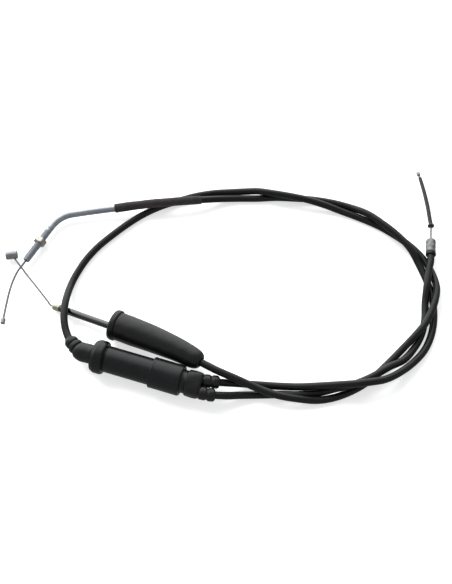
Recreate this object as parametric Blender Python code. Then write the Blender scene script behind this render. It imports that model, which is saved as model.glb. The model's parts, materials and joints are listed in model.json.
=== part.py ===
"""Two-stroke throttle cable set with a splitter: one grip cable in, a carburettor cable and an oil-pump cable out.

Everything below is written in millimetres and turned into metres as it is built. +Z is up, the set lies on z = 0,
+X runs along the longer side of the set, and the origin is under the middle of the fittings.
"""

import math

import bmesh
import bpy
from mathutils import Matrix, Vector

MM = 0.001

# ---- driving dimensions, mm -------------------------------------------------------------------------------------
CASING_R = 2.5            # 5 mm outer casing
WIRE_R = 0.75             # stranded inner wire, 1.5 mm
GRIP_WIRE_R = 0.6         # the thinner grip wire
TRAVEL = 9.5              # stroke of the inner wires
CENTRE = (-3.32, 8.06)       # middle of the fittings before it is moved to the origin

JUNCTION = (-83.1, -55.9, 11.2)   # middle of the splitter's collar
JUNCTION_YAW = -17.6              # degrees, the splitter's axis in plan
COLLAR_R = 11.2
TUBE_R = 8.87
CAP_R = 10.35
HOUSING_BORE_R = 7.0
OUTLET = 4.4                      # each outlet's offset from the splitter's axis
SLIDER_R = 6.7
SLIDER_FROM, SLIDER_LEN = 14.0, 14.0

BOOT_MOUTH = (-76.3, -31.2, 10.96)   # middle of the conical boot's flange face
BOOT_BEND = (-51.3, -42.05, 12.0)    # where its straight stretch ends
BOOT_TIP = (-16.4, -60.9, 13.6)     # middle of its small end
GUIDE_NEAR = (-61.4, -39.5, 11.6)   # guide tube, the end inside the boot
GUIDE_FAR = (-114.1, -15.4, 4.0)    # and the end at the brass ferrule
GUIDE_R = 2.42

ADJ_JOINT = (-127.5, 49.2, 5.0)     # where the bent pipe meets the threaded adjuster
ADJ_END = (-141.6, 22.9, 5.0)       # the adjuster's free end
ADJ_R = 2.5                        # M5 thread
NUT_AF, NUT_T, NUT_AT = 8.0, 4.0, 9.8   # M5 lock nut: across flats, thickness, place along the adjuster
PIPE_R = 2.5

CARB_A = (144.6, 25.2, 7.9)         # start of the ring on the carburettor end
CARB_B = (146.2, 38.3, 7.5)         # mouth of the carburettor ferrule
CARB_R = 3.45

DRUM_AT, DRUM_R, DRUM_L, DRUM_YAW = (-152.3, 27.6, 4.6), 2.95, 8.1, 8.0

# ---- the frame --------------------------------------------------------------------------------------------------
yaw = math.radians(JUNCTION_YAW)
AXIS = Vector((math.cos(yaw), math.sin(yaw), 0))
SIDE = Vector((math.sin(yaw), -math.cos(yaw), 0))   # towards the carburettor outlet


def V(p):
    return Vector((p[0], p[1], p[2]))


def J(s, side=0.0, up=0.0):
    """A point s mm along the splitter's axis from the middle of its collar."""
    return V(JUNCTION) + AXIS * s + SIDE * side + Vector((0, 0, up))


class Route:
    """A smooth curve through control points, measured by its arc length."""

    def __init__(self, points, per=10):
        pts = [V(p) for p in points]
        ext = [pts[0] * 2 - pts[1]] + pts + [pts[-1] * 2 - pts[-2]]
        fine = []
        for i in range(1, len(ext) - 2):
            a, b, c, d = ext[i - 1 : i + 3]
            for k in range(per):
                t = k / per
                fine.append(
                    0.5
                    * (
                        2 * b
                        + (c - a) * t
                        + (2 * a - 5 * b + 4 * c - d) * t * t
                        + (3 * b - a - 3 * c + d) * t * t * t
                    )
                )
        fine.append(pts[-1])
        self.p = fine
        self.s = [0.0]
        for a, b in zip(fine, fine[1:]):
            self.s.append(self.s[-1] + (b - a).length)
        self.length = self.s[-1]

    def at(self, s):
        if s <= 0:
            return self.p[0] + (self.p[1] - self.p[0]).normalized() * s
        if s >= self.length:
            return self.p[-1] + (self.p[-1] - self.p[-2]).normalized() * (s - self.length)
        lo, hi = 0, len(self.s) - 1
        while hi - lo > 1:
            m = (lo + hi) // 2
            if self.s[m] <= s:
                lo = m
            else:
                hi = m
        t = (s - self.s[lo]) / (self.s[hi] - self.s[lo])
        return self.p[lo].lerp(self.p[hi], t)

    def tangent(self, s):
        return (self.at(s + 0.6) - self.at(s - 0.6)).normalized()

    def near(self, point):
        q = V(point)
        best = min(range(len(self.p)), key=lambda i: (self.p[i] - q).length)
        return self.s[best]


def line(a, b):
    """A straight route from a to b."""
    a, b = V(a), V(b)
    return Route([a, a.lerp(b, 0.5), b], per=1)


def material(name, colour, rough, metal=0.0):
    m = bpy.data.materials.get(name) or bpy.data.materials.new(name)
    m.use_nodes = True
    n = m.node_tree.nodes["Principled BSDF"]
    n.inputs["Base Color"].default_value = (*colour, 1)
    n.inputs["Roughness"].default_value = rough
    n.inputs["Metallic"].default_value = metal
    return m


CASING = ("casing_plastic", (0.022, 0.022, 0.024), 0.42)
RUBBER = ("rubber", (0.03, 0.03, 0.031), 0.55)
PLASTIC = ("black_plastic", (0.02, 0.021, 0.023), 0.38)
SLEEVE = ("shrink_sleeve", (0.045, 0.038, 0.036), 0.7)
GLOSS = ("gloss_black", (0.006, 0.006, 0.007), 0.14)
ZINC = ("zinc", (0.62, 0.64, 0.66), 0.32, 1.0)
NUTZINC = ("nut_zinc", (0.68, 0.64, 0.55), 0.38, 1.0)
BRASS = ("brass", (0.72, 0.64, 0.45), 0.35, 1.0)
WIRE = ("wire_steel", (0.55, 0.55, 0.54), 0.35, 1.0)
NIPPLE = ("nipple_zinc", (0.5, 0.5, 0.51), 0.45, 1.0)
NYLON = ("nylon", (0.75, 0.74, 0.7), 0.45)


def frames(route, stations):
    """A frame at each station: Z along the route, X kept as level as it can be."""
    out = []
    for s in stations:
        z = route.tangent(s)
        x = z.cross(Vector((0, 0, 1)))
        if x.length < 1e-3:
            x = Vector((1, 0, 0))
        x.normalize()
        y = z.cross(x)
        p = route.at(s)
        out.append(Matrix(((x.x, y.x, z.x, p.x), (x.y, y.y, z.y, p.y), (x.z, y.z, z.z, p.z), (0, 0, 0, 1))))
    return out


def finish(name, bm, mat, origin, smooth=35):
    bmesh.ops.recalc_face_normals(bm, faces=bm.faces)
    o = V(origin)
    bmesh.ops.translate(bm, verts=bm.verts, vec=-o)
    bmesh.ops.scale(bm, vec=(MM, MM, MM), verts=bm.verts)
    me = bpy.data.meshes.new(name)
    bm.to_mesh(me)
    bm.free()
    me.shade_smooth()
    me.set_sharp_from_angle(angle=math.radians(smooth))
    ob = bpy.data.objects.new(name, me)
    bpy.context.scene.collection.objects.link(ob)
    ob.location = Vector((o.x - CENTRE[0], o.y - CENTRE[1], o.z)) * MM
    if mat is not None:
        me.materials.append(material(*mat))
    return ob


def swept(name, route, profile, mat, sides=20, origin=None, flat=None):
    """A turned shape along a route. profile is (distance along the route, radius) from one end round to the other:
    it closes on itself for a shape with a bore, and starts and ends at radius 0 for a solid one.
    flat, if given, is (sides, half width) of a prism used for the outer rings marked with a third value, and the
    prism's corners are level with the route."""
    bm = bmesh.new()
    rings = []
    mats = frames(route, [q[0] for q in profile])
    for m, q in zip(mats, profile):
        r = q[1]
        if r <= 1e-6:
            rings.append([bm.verts.new(m @ Vector((0, 0, 0)))])
            continue
        ring = []
        for k in range(sides):
            a = 2 * math.pi * k / sides
            rr = r
            if flat and len(q) > 2:
                n, half = flat
                b = a % (2 * math.pi / n) - math.pi / n
                rr = min(r, half / math.cos(b))
            ring.append(bm.verts.new(m @ Vector((rr * math.cos(a), rr * math.sin(a), 0))))
        rings.append(ring)
    closed = len(rings[0]) > 1 and len(rings[-1]) > 1
    pairs = list(zip(rings, rings[1:]))
    if closed:
        pairs.append((rings[-1], rings[0]))
    for a, b in pairs:
        if len(a) == 1 and len(b) == 1:
            continue
        for k in range(sides):
            k2 = (k + 1) % sides
            if len(a) == 1:
                bm.faces.new((a[0], b[k], b[k2]))
            elif len(b) == 1:
                bm.faces.new((a[k], b[0], a[k2]))
            else:
                bm.faces.new((a[k], b[k], b[k2], a[k2]))
    return finish(name, bm, mat, origin or route.at(profile[0][0]))


def rod(name, route, s0, s1, r, mat, sides=12, step=4.0, edge=0.0, origin=None):
    """A solid round rod along a route from s0 to s1, with chamfered ends if edge is given."""
    n = max(1, int(math.ceil((s1 - s0) / step)))
    prof = [(s0, 0.0)]
    if edge:
        prof += [(s0, r - edge), (s0 + edge, r)]
        inner = [s0 + edge + (s1 - s0 - 2 * edge) * k / n for k in range(1, n)]
        prof += [(s, r) for s in inner] + [(s1 - edge, r), (s1, r - edge)]
    else:
        prof += [(s0 + (s1 - s0) * k / n, r) for k in range(n + 1)]
    prof.append((s1, 0.0))
    return swept(name, route, prof, mat, sides, origin)


def tube(name, route, s0, s1, r, bore, mat, sides=16, step=5.0, edge=0.2, origin=None):
    """A hollow tube along a route."""
    n = max(1, int(math.ceil((s1 - s0) / step)))
    cuts = [s0 + (s1 - s0) * k / n for k in range(1, n)]
    prof = [(s0, bore), (s0, r - edge), (s0 + edge, r)]
    prof += [(s, r) for s in cuts]
    prof += [(s1 - edge, r), (s1, r - edge), (s1, bore)]
    prof += [(s, bore) for s in reversed(cuts)]
    return swept(name, route, prof, mat, sides, origin)


def cord(name, route, s0, s1, r, mat, step=10.0):
    """A cord's plain tube: a curve with a round bevel and filled caps."""
    n = max(2, int(round((s1 - s0) / step)))
    cu = bpy.data.curves.new(name, "CURVE")
    cu.dimensions = "3D"
    sp = cu.splines.new("POLY")
    sp.points.add(n)
    first = route.at(s0)
    for k in range(n + 1):
        p = (route.at(s0 + (s1 - s0) * k / n) - first) * MM
        sp.points[k].co = (p.x, p.y, p.z, 1)
    cu.bevel_depth = r * MM
    cu.bevel_resolution = 2
    cu.use_fill_caps = True
    cu.resolution_u = 1
    cu.render_resolution_u = 0
    ob = bpy.data.objects.new(name, cu)
    bpy.context.scene.collection.objects.link(ob)
    ob.location = Vector((first.x - CENTRE[0], first.y - CENTRE[1], first.z)) * MM
    cu.materials.append(material(*mat))
    return ob


def boolean(target, cutter, operation):
    mod = target.modifiers.new(operation.lower() + "_" + cutter.name, "BOOLEAN")
    mod.operation = operation
    mod.object = cutter
    mod.solver = "EXACT"
    cutter.hide_render = True
    cutter.display_type = "WIRE"
    return mod


def build():
    for o in list(bpy.data.objects):
        bpy.data.objects.remove(o, do_unlink=True)

    axis = line(J(0), J(100))      # arc length on this route equals the station along the splitter
    back = line(J(0), J(-100))

    # ---- routes of the three cables ----
    grip = Route([
        J(-4.9), J(-9), J(-13), (-100.9, -46.8, 10.5), (-104.8, -41.8, 9.9), (-107.4, -36, 9.7), (-109.2, -29, 10.2),
        (-109.9, -21, 10.4), (-109.8, -13, 9.4), (-109.3, -4, 6.2), (-108.2, 4, 3.4), (-105.9, 11.6, 2.5),
        (-100.3, 23.5, 2.5), (-92.6, 34.8, 2.5), (-82.9, 45.1, 2.5), (-72.2, 55.0, 2.5), (-61.2, 63.6, 2.5),
        (-49.2, 70.6, 2.5), (-36, 75.9, 2.5), (-23, 80.4, 2.5), (-9, 83.2, 2.5), (4, 84.1, 2.6), (15, 83.8, 3.9),
        (24, 82.3, 6.2), (34, 79.4, 7.9), (46, 76.8, 8.1), (58, 74.2, 7.5), (71.3, 70.9, 5.4), (84.5, 66.6, 3.0),
        (97.6, 60.9, 2.5), (110.8, 53.8, 2.5), (121.9, 45.7, 2.5), (132, 36.6, 2.5), (140.4, 25.4, 2.5),
        (145.4, 12.2, 3.0), (146.1, -1, 6.2), (142.5, -14.2, 8.1), (136.0, -27.6, 8.2), (127.4, -38.0, 7.3),
        (117.4, -47.5, 3.4), (107.6, -57.2, 2.5), (97.5, -66.7, 2.5), (86.4, -74.5, 2.5), (73.1, -80.5, 2.5),
        (60, -83.3, 3.1), (46, -83.4, 6.0), (32, -81.4, 7.8), (19, -76.9, 9.3), (7, -72.4, 12.3), (-4, -67.8, 13.6),
        (-10.5, -64.4, 13.7), (-16.4, -61.0, 13.6), (-21.7, -57.7, 13.5), (-29.7, -52.9, 13.2), (-40.4, -47.4, 12.6),
        (-48, -44.3, 12.1), (-54, -42.3, 11.9),
    ])
    pump = Route([
        J(54, -OUTLET), J(60, -OUTLET), J(66, -OUTLET), J(70.5, -OUTLET), (-8.5, -73.6, 10.7), (-2, -73.4, 9.0),
        (5, -72.7, 6.4), (13, -72.2, 4.0), (23, -72.3, 2.7), (35, -73.2, 2.8), (47, -74.5, 4.7), (60, -75.7, 8.6),
        (72, -76.2, 11.5), (84, -76.1, 13.2), (94.3, -74.5, 12.6), (104, -71.7, 10.4), (113.7, -65.9, 7.6),
        (124.2, -57.3, 4.7), (133.4, -46.9, 3.0), (139.5, -34.6, 2.5), (142.6, -21.2, 2.5), (143.1, -7, 2.5),
        (140.9, 7.1, 2.5), (136.5, 20.3, 3.7), (130.7, 31.9, 7.0), (122, 42.9, 8.1), (111.9, 53.2, 8.0),
        (102.2, 62.1, 6.8), (91.1, 69.7, 3.4), (78.5, 74.5, 2.5), (64.4, 77.3, 2.5), (50.3, 78.5, 2.5),
        (37.2, 79.1, 2.5), (23, 78.4, 2.5), (9, 78.3, 2.6), (-4, 76.8, 4.2), (-17, 73.8, 7.3), (-30, 71.7, 8.9),
        (-42, 70.3, 9.2), (-55, 69.1, 9.0), (-69, 67.7, 8.1), (-81, 66.2, 7.2), (-95, 64.5, 6.5), (-109.2, 62.4, 5.9),
        (-115.7, 61.0, 5.6), (-121.0, 57.8, 5.4), (-124.7, 53.7, 5.2), ADJ_JOINT,
    ])
    carb_in = (V(CARB_B) - V(CARB_A)).normalized()
    carb = Route([
        J(54, OUTLET), J(60, OUTLET), J(66, OUTLET), J(70.5, OUTLET), (-11, -82.6, 10.6), (-4.5, -82.6, 9.2),
        (2, -81.8, 7.0), (9, -80.6, 4.9), (18, -79.6, 3.0), (27, -79.2, 2.5), (37, -79, 2.5), (47, -79.2, 2.5),
        (60, -78.1, 3.2), (72, -76.2, 5.9), (84, -73.9, 7.8), (96, -68.7, 8.1), (107.2, -61.7, 7.5), (118.3, -55.1, 5.0),
        (126.6, -45.3, 2.5), (132.6, -35, 2.5), (136.2, -23, 2.5), (137.5, -11, 4.0), (139.4, 1, 7.8),
        (141.8, 12.5, 8.2), V(CARB_A) - carb_in * 5, V(CARB_A), V(CARB_A) + carb_in * 5,
    ])

    # ---- splitter ----
    swept("junction_body", axis, [
        (-4.6, 3.0), (-4.6, 9.2), (-3.5, 10.7), (-2.3, COLLAR_R), (2.9, COLLAR_R), (3.9, 10.7), (3.9, TUBE_R),
        (50.0, TUBE_R), (50.0, HOUSING_BORE_R), (-1.6, HOUSING_BORE_R), (-1.6, 3.0),
    ], PLASTIC, 28, origin=J(0))
    swept("junction_cap", axis, [
        (36.4, 9.25), (36.4, 9.95), (36.8, CAP_R), (56.8, CAP_R), (57.3, 9.95), (57.3, 8.3), (54.0, 8.3), (54.0, 9.25),
    ], PLASTIC, 28, origin=J(47))
    swept("junction_slider", axis, [
        (SLIDER_FROM, 1.1), (SLIDER_FROM, SLIDER_R - 0.6), (SLIDER_FROM + 0.6, SLIDER_R),
        (SLIDER_FROM + SLIDER_LEN - 0.6, SLIDER_R), (SLIDER_FROM + SLIDER_LEN, SLIDER_R - 0.6),
        (SLIDER_FROM + SLIDER_LEN, 2.4), (SLIDER_FROM + 8, 2.4), (SLIDER_FROM + 8, 1.1),
    ], NYLON, 24, origin=J(SLIDER_FROM))
    slider = bpy.data.objects["junction_slider"]
    for label, off in (("pump", -OUTLET), ("carb", OUTLET)):
        way = line(J(SLIDER_FROM - 1, off), J(SLIDER_FROM + SLIDER_LEN + 1, off))
        cut = swept("cut_" + label, way, [(0, 0), (0, 1.75), (6.2, 1.75), (6.2, 1.05), (16, 1.05), (16, 0)], None, 12)
        boolean(slider, cut, "DIFFERENCE")

    # inner wires and nipples, all carried by the slider
    inner = line(J(-2.6), J(SLIDER_FROM + 8.2))
    rod("input_inner_wire", inner, 0, inner.length, GRIP_WIRE_R, WIRE, 10, step=30)
    tip = line(J(SLIDER_FROM + 8.5), J(SLIDER_FROM + 12.5))
    rod("input_nipple", tip, 0, 4, 2.05, NIPPLE, 16, edge=0.3)
    for label, off in (("pump", -OUTLET), ("carb", OUTLET)):
        seat = line(J(SLIDER_FROM + 1.2, off), J(SLIDER_FROM + 4.9, off))
        rod(label + "_inner_nipple", seat, 0, 3.7, 1.42, NIPPLE, 14, edge=0.25)
        run = line(J(SLIDER_FROM + 5.2, off), J(69.3, off))
        rod(label + "_inner_wire", run, 0, run.length, GRIP_WIRE_R, WIRE, 10, step=60)
        end = line(J(51.2, off), J(69.8, off))
        tube(label + "_end_ferrule", end, 0, 18.6, 2.3, 1.15, ZINC, 14, step=30, edge=0.25)
    into = line(J(-13.2), J(-1.9))
    tube("input_end_ferrule", into, 0, 11.3, 2.5, 1.15, ZINC, 14, step=20, edge=0.25)

    # ribbed input boot, bent with the cable
    swept("input_boot", grip, [
        (0.1, 2.85), (0.1, 6.2), (0.6, 6.4), (4.0, 6.4), (8.0, 6.35), (10.6, 6.1), (11.6, 5.0), (12.2, 4.2), (12.6, 4.9),
        (13.2, 5.1), (15.2, 5.1), (15.8, 4.7), (16.3, 3.9), (17.0, 4.5), (17.5, 4.7), (19.6, 4.7), (20.2, 4.3),
        (20.6, 3.6), (22.0, 3.3), (22.0, 2.9), (18.0, 3.0), (15.0, 3.05), (12.5, 3.05), (9.0, 2.9), (5.0, 2.85),
    ], RUBBER, 20, origin=J(-5))

    # twin output boot: a neck in the cap, an oval body, and two ribbed outlets
    bm = bmesh.new()
    rings = []
    sides = 28
    for s, half_w, half_h in ((51.5, 7.9, 7.9), (57.7, 7.9, 7.9), (58.0, 7.75, 7.75), (60.6, 7.8, 7.7), (60.9, 8.7, 8.3),
                              (64.0, 8.75, 7.4), (68.0, 8.8, 6.0), (69.6, 8.6, 5.4), (70.2, 8.0, 4.8)):
        ring = []
        for k in range(sides):
            a = 2 * math.pi * k / sides
            ring.append(bm.verts.new(J(s, half_w * math.cos(a), half_h * math.sin(a))))
        rings.append(ring)
    for a, b in zip(rings, rings[1:]):
        if (a[0].co - b[0].co).length < 1e-6:
            continue
        for k in range(sides):
            k2 = (k + 1) % sides
            bm.faces.new((a[k], b[k], b[k2], a[k2]))
    bmesh.ops.remove_doubles(bm, verts=bm.verts, dist=1e-4)
    bm.faces.new(list(reversed(rings[0])))
    bm.faces.new(rings[-1])
    body = finish("output_boot", bm, RUBBER, J(60))
    for label, way in (("pump", pump), ("carb", carb)):
        s0 = 12.6
        out = swept("rib_" + label, way, [
            (s0, 0), (s0, 3.7), (16.8, 3.7), (17.4, 4.3), (20.4, 4.3), (21.0, 3.7), (22.0, 3.5), (22.6, 4.3),
            (25.6, 4.3), (26.2, 3.9), (26.6, 3.6), (26.6, 0),
        ], None, 18)
        boolean(body, out, "UNION")
    for label, way in (("pump", pump), ("carb", carb)):
        bore = swept("bore_" + label, way, [(-4, 0), (-4, 2.75), (4, 2.75), (10, 2.75), (14, 2.8), (16, 2.95), (18, 3.0), (20, 3.05), (22, 3.05), (24, 3.05), (26, 3.05), (28, 3.05), (28, 0)], None, 14)
        boolean(body, bore, "DIFFERENCE")

    # ---- cables ----
    g0 = grip.near(J(-13)) + 1.4
    cord("grip_casing", grip, g0, grip.length, CASING_R, CASING)
    pump_pipe = pump.near((-69, 67.7, 8.1))
    cord("pump_casing", pump, 16.9, pump_pipe - 0.4, CASING_R, CASING)
    cord("carb_casing", carb, 16.9, carb.near(CARB_A) + 2.0, CASING_R, CASING)

    # ---- conical boot and grip end ----
    m, q = V(BOOT_MOUTH), V(BOOT_BEND)
    cone = Route([m, m.lerp(q, 1 / 3), m.lerp(q, 2 / 3), q, (-40.4, -47.15, 12.6), (-29.7, -52.8, 13.2),
                  (-21.7, -57.6, 13.5), BOOT_TIP])
    n = cone.length
    swept("conical_boot", cone, [
        (0, 7.2), (0, 9.4), (0.5, 10.1), (1.6, 10.55), (4.0, 10.6), (4.5, 10.3), (4.8, 9.6), (15.4, 9.6), (21.4, 9.45),
        (27.4, 9.15), (35.4, 8.7), (42.4, 8.3), (49.4, 7.8), (55.4, 7.35), (n - 5.5, 6.85), (n - 2.6, 6.2),
        (n - 0.9, 5.2), (n, 3.9), (n, 3.25), (55.4, 3.35), (46.4, 4.1), (35.4, 5.2), (21.4, 6.1), (3.2, 6.6), (3.0, 7.2),
    ], RUBBER, 28, origin=BOOT_MOUTH)
    guide = line(GUIDE_NEAR, GUIDE_FAR)
    link = line(grip.at(grip.length), GUIDE_NEAR)
    tube("guide_ferrule", link, 0.4, link.length - 0.5, 2.45, 1.3, ZINC, 14, step=20)
    tube("guide_tube", guide, 0.0, guide.length - 0.3, GUIDE_R, 1.3, GLOSS, 16, step=60, edge=0.25)
    g = (V(GUIDE_FAR) - V(GUIDE_NEAR)).normalized()
    swept("grip_ferrule", guide, [
        (guide.length, 1.3), (guide.length, 2.3), (guide.length + 0.3, 2.5), (guide.length + 1.2, 2.5),
        (guide.length + 4.9, 2.5), (guide.length + 5.2, 2.2), (guide.length + 5.2, 1.3),
    ], BRASS, 16)
    mouth = V(GUIDE_FAR) + g * 5.2
    wire = Route([
        V(GUIDE_FAR) - g * 24, V(GUIDE_FAR) - g * 12, V(GUIDE_FAR), mouth, mouth + g * 2.7, (-123.4, -9.1, 3.2),
        (-128.4, -2.6, 3.0), (-134.2, 5.0, 2.7), (-139.8, 12, 2.6), (-145.0, 18.8, 2.9), (-148.6, 23.3, 3.7), (-150.6, 25.8, 4.3),
    ])
    rod("grip_wire", wire, 0, wire.length - 0.6, GRIP_WIRE_R, WIRE, 8, step=6, origin=mouth)
    a = math.radians(DRUM_YAW)
    d = Vector((math.cos(a), math.sin(a), 0))
    drum = line(V(DRUM_AT) - d * (DRUM_L / 2), V(DRUM_AT) + d * (DRUM_L / 2))
    rod("drum_nipple", drum, 0, DRUM_L, DRUM_R, NIPPLE, 20, step=20, edge=0.35)
    drum_hole = swept("cut_drum", wire, [(wire.length - 2.2, 0), (wire.length - 2.2, 0.95), (wire.length + 0.4, 0.95), (wire.length + 0.4, 0)], None, 10)
    boolean(bpy.data.objects["drum_nipple"], drum_hole, "DIFFERENCE")

    # ---- pump end ----
    s_sleeve = pump.near((-18.3, 73.4, 7.5))
    s_sleeve_end = pump.near((-81.1, 65.6, 7.2))
    cuts = [s_sleeve + (s_sleeve_end - s_sleeve) * k / 9 for k in range(1, 9)]
    swept("shrink_sleeve", pump, [(s_sleeve, 2.8), (s_sleeve, 3.1), (s_sleeve + 0.3, 3.15)]
          + [(s, 3.2) for s in cuts] + [(s_sleeve_end - 0.3, 3.3), (s_sleeve_end, 3.2), (s_sleeve_end, 2.8)]
          + [(s, 2.8) for s in reversed(cuts)], SLEEVE, 16)
    tube("elbow_pipe", pump, pump_pipe, pump.length - 0.3, PIPE_R, 1.4, ZINC, 14, step=4.2, edge=0.2)
    adj = line(ADJ_JOINT, ADJ_END)
    tube("threaded_adjuster", adj, 0, adj.length, ADJ_R, 1.4, ZINC, 18, step=60, edge=0.35)
    half = NUT_AF / 2
    corner = half / math.cos(math.pi / 6)
    swept("lock_nut", adj, [
        (NUT_AT, 2.75), (NUT_AT, 3.9), (NUT_AT + 0.55, corner, 1), (NUT_AT + NUT_T - 0.55, corner, 1),
        (NUT_AT + NUT_T, 3.9), (NUT_AT + NUT_T, 2.75),
    ], NUTZINC, 24, origin=adj.at(NUT_AT + NUT_T / 2), flat=(6, half))
    v = (V(ADJ_END) - V(ADJ_JOINT)).normalized()
    e = V(ADJ_END)
    pw = Route([
        e - v * 12, e - v * 4, e, e + v * 5, e + v * 10.5, (-149.0, 6.4, 4.3), (-150.5, -1.5, 4.0), (-151.5, -10.7, 3.6),
        (-152.2, -19.5, 3.2), (-152.4, -22.4, 3.1),
    ])
    rod("pump_wire", pw, 0, pw.length, WIRE_R, WIRE, 8, step=5, origin=e)
    pn = line(pw.at(pw.length) + pw.tangent(pw.length) * 0.3, pw.at(pw.length) + pw.tangent(pw.length) * 4.3)
    rod("pump_nipple", pn, 0, 4.0, 1.55, NIPPLE, 14, edge=0.3)

    # ---- carburettor end ----
    end = line(CARB_A, CARB_B)
    n = end.length
    swept("ferrule_ring", end, [(0, 2.8), (0, 3.3), (0.3, 3.6), (1.9, 3.6), (2.2, 3.3), (2.2, 2.8)], PLASTIC, 20)
    swept("carb_ferrule", end, [
        (2.5, 1.25), (2.5, 3.2), (2.8, CARB_R), (n - 0.5, CARB_R), (n, 3.0), (n, 1.25),
    ], ZINC, 20)
    b = V(CARB_B)
    cw = Route([b - carb_in * 0.7, b + carb_in * 4, b + carb_in * 8, b + carb_in * 12.5, (147.6, 58, 6.5), (147.6, 66, 5.8),
                (147.25, 76.2, 4.8), (146.45, 87.6, 3.6), (145.45, 97, 2.6), (145.05, 99.4, 2.4)])
    rod("carb_wire", cw, 0, cw.length, 0.65, WIRE, 8, step=5, origin=b)
    s1 = cw.near(b + carb_in * 11.7)
    cuts = [s1 + 1.9 + (cw.length - 2.2 - s1 - 1.9) * k / 9 for k in range(1, 9)]
    swept("wire_sleeve", cw, [(s1, 1.0), (s1, 2.1), (s1 + 0.3, 2.3), (s1 + 1.3, 2.3), (s1 + 1.6, 2.0), (s1 + 1.8, 1.5)]
          + [(s, 1.45 - 0.12 * k / 8) for k, s in enumerate(cuts)] + [(cw.length - 2.2, 1.3), (cw.length - 2.2, 1.0)]
          + [(s, 1.0) for s in reversed(cuts)] + [(s1 + 1.8, 1.0)], PLASTIC, 12)
    cn = line(cw.at(cw.length) + cw.tangent(cw.length) * 0.3, cw.at(cw.length) + cw.tangent(cw.length) * 3.6)
    rod("carb_nipple", cn, 0, 3.3, 1.3, NIPPLE, 14, edge=0.25)


build()
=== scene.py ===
"""The looks of the two-stroke throttle cable set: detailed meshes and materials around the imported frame."""

import json
import math

import bmesh
import bpy
from mathutils import Matrix, Vector

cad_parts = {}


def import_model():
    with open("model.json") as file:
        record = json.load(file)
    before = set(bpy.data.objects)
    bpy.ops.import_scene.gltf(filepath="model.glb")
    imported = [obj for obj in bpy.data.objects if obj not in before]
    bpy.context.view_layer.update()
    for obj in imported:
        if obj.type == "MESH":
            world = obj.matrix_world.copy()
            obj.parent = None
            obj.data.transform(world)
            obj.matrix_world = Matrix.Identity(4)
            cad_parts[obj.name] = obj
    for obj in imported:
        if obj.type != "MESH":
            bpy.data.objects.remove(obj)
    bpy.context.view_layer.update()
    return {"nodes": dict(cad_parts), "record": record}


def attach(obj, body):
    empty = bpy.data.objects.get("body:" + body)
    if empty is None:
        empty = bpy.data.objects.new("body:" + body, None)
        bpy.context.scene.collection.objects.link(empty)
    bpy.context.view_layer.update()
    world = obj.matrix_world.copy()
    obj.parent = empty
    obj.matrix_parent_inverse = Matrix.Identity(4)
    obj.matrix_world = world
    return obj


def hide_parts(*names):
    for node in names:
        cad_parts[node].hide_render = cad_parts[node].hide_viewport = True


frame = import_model()

MM = 0.001
CENTRE = (-3.32, 8.06)
CASING_R = 2.5
WIRE_R, GRIP_WIRE_R, CARB_WIRE_R = 0.75, 0.6, 0.65
JUNCTION = (-83.1, -55.9, 11.2)
JUNCTION_YAW = -17.6
COLLAR_R, TUBE_R, CAP_R = 11.2, 8.87, 10.35
OUTLET = 4.4
BOOT_MOUTH = (-76.3, -31.2, 10.96)
BOOT_BEND = (-51.3, -42.05, 12.0)
BOOT_TIP = (-16.4, -60.9, 13.6)
GUIDE_NEAR = (-61.4, -39.5, 11.6)
GUIDE_FAR = (-114.1, -15.4, 4.0)
GUIDE_R = 2.42
ADJ_JOINT = (-127.5, 49.2, 5.0)
ADJ_END = (-141.6, 22.9, 5.0)
ADJ_R = 2.5
NUT_AF, NUT_T, NUT_AT = 8.0, 4.0, 9.8
PIPE_R = 2.5
CARB_A = (144.6, 25.2, 7.9)
CARB_B = (146.2, 38.3, 7.5)
CARB_R = 3.45
DRUM_AT, DRUM_R, DRUM_L, DRUM_YAW = (-152.3, 27.6, 4.6), 2.95, 8.1, 8.0

yaw = math.radians(JUNCTION_YAW)
AXIS = Vector((math.cos(yaw), math.sin(yaw), 0))
SIDE = Vector((math.sin(yaw), -math.cos(yaw), 0))


def V(p):
    return Vector((p[0], p[1], p[2]))


def J(s, side=0.0, up=0.0):
    return V(JUNCTION) + AXIS * s + SIDE * side + Vector((0, 0, up))


def world(p):
    """Millimetres of the design to metres of the row frame."""
    return Vector(((p[0] - CENTRE[0]) * MM, (p[1] - CENTRE[1]) * MM, p[2] * MM))


class Route:
    """The same smooth curve as in the CAD source, measured by its arc length in mm."""

    def __init__(self, points, per=10):
        pts = [V(p) for p in points]
        ext = [pts[0] * 2 - pts[1]] + pts + [pts[-1] * 2 - pts[-2]]
        fine = []
        for i in range(1, len(ext) - 2):
            a, b, c, d = ext[i - 1 : i + 3]
            for k in range(per):
                t = k / per
                fine.append(
                    0.5
                    * (
                        2 * b
                        + (c - a) * t
                        + (2 * a - 5 * b + 4 * c - d) * t * t
                        + (3 * b - a - 3 * c + d) * t * t * t
                    )
                )
        fine.append(pts[-1])
        self.p = fine
        self.s = [0.0]
        for a, b in zip(fine, fine[1:]):
            self.s.append(self.s[-1] + (b - a).length)
        self.length = self.s[-1]

    def at(self, s):
        if s <= 0:
            return self.p[0] + (self.p[1] - self.p[0]).normalized() * s
        if s >= self.length:
            return self.p[-1] + (self.p[-1] - self.p[-2]).normalized() * (s - self.length)
        lo, hi = 0, len(self.s) - 1
        while hi - lo > 1:
            m = (lo + hi) // 2
            if self.s[m] <= s:
                lo = m
            else:
                hi = m
        t = (s - self.s[lo]) / (self.s[hi] - self.s[lo])
        return self.p[lo].lerp(self.p[hi], t)

    def tangent(self, s):
        return (self.at(s + 0.6) - self.at(s - 0.6)).normalized()

    def near(self, point):
        q = V(point)
        best = min(range(len(self.p)), key=lambda i: (self.p[i] - q).length)
        return self.s[best]


def line(a, b):
    a, b = V(a), V(b)
    return Route([a, a.lerp(b, 0.5), b], per=1)


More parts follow.
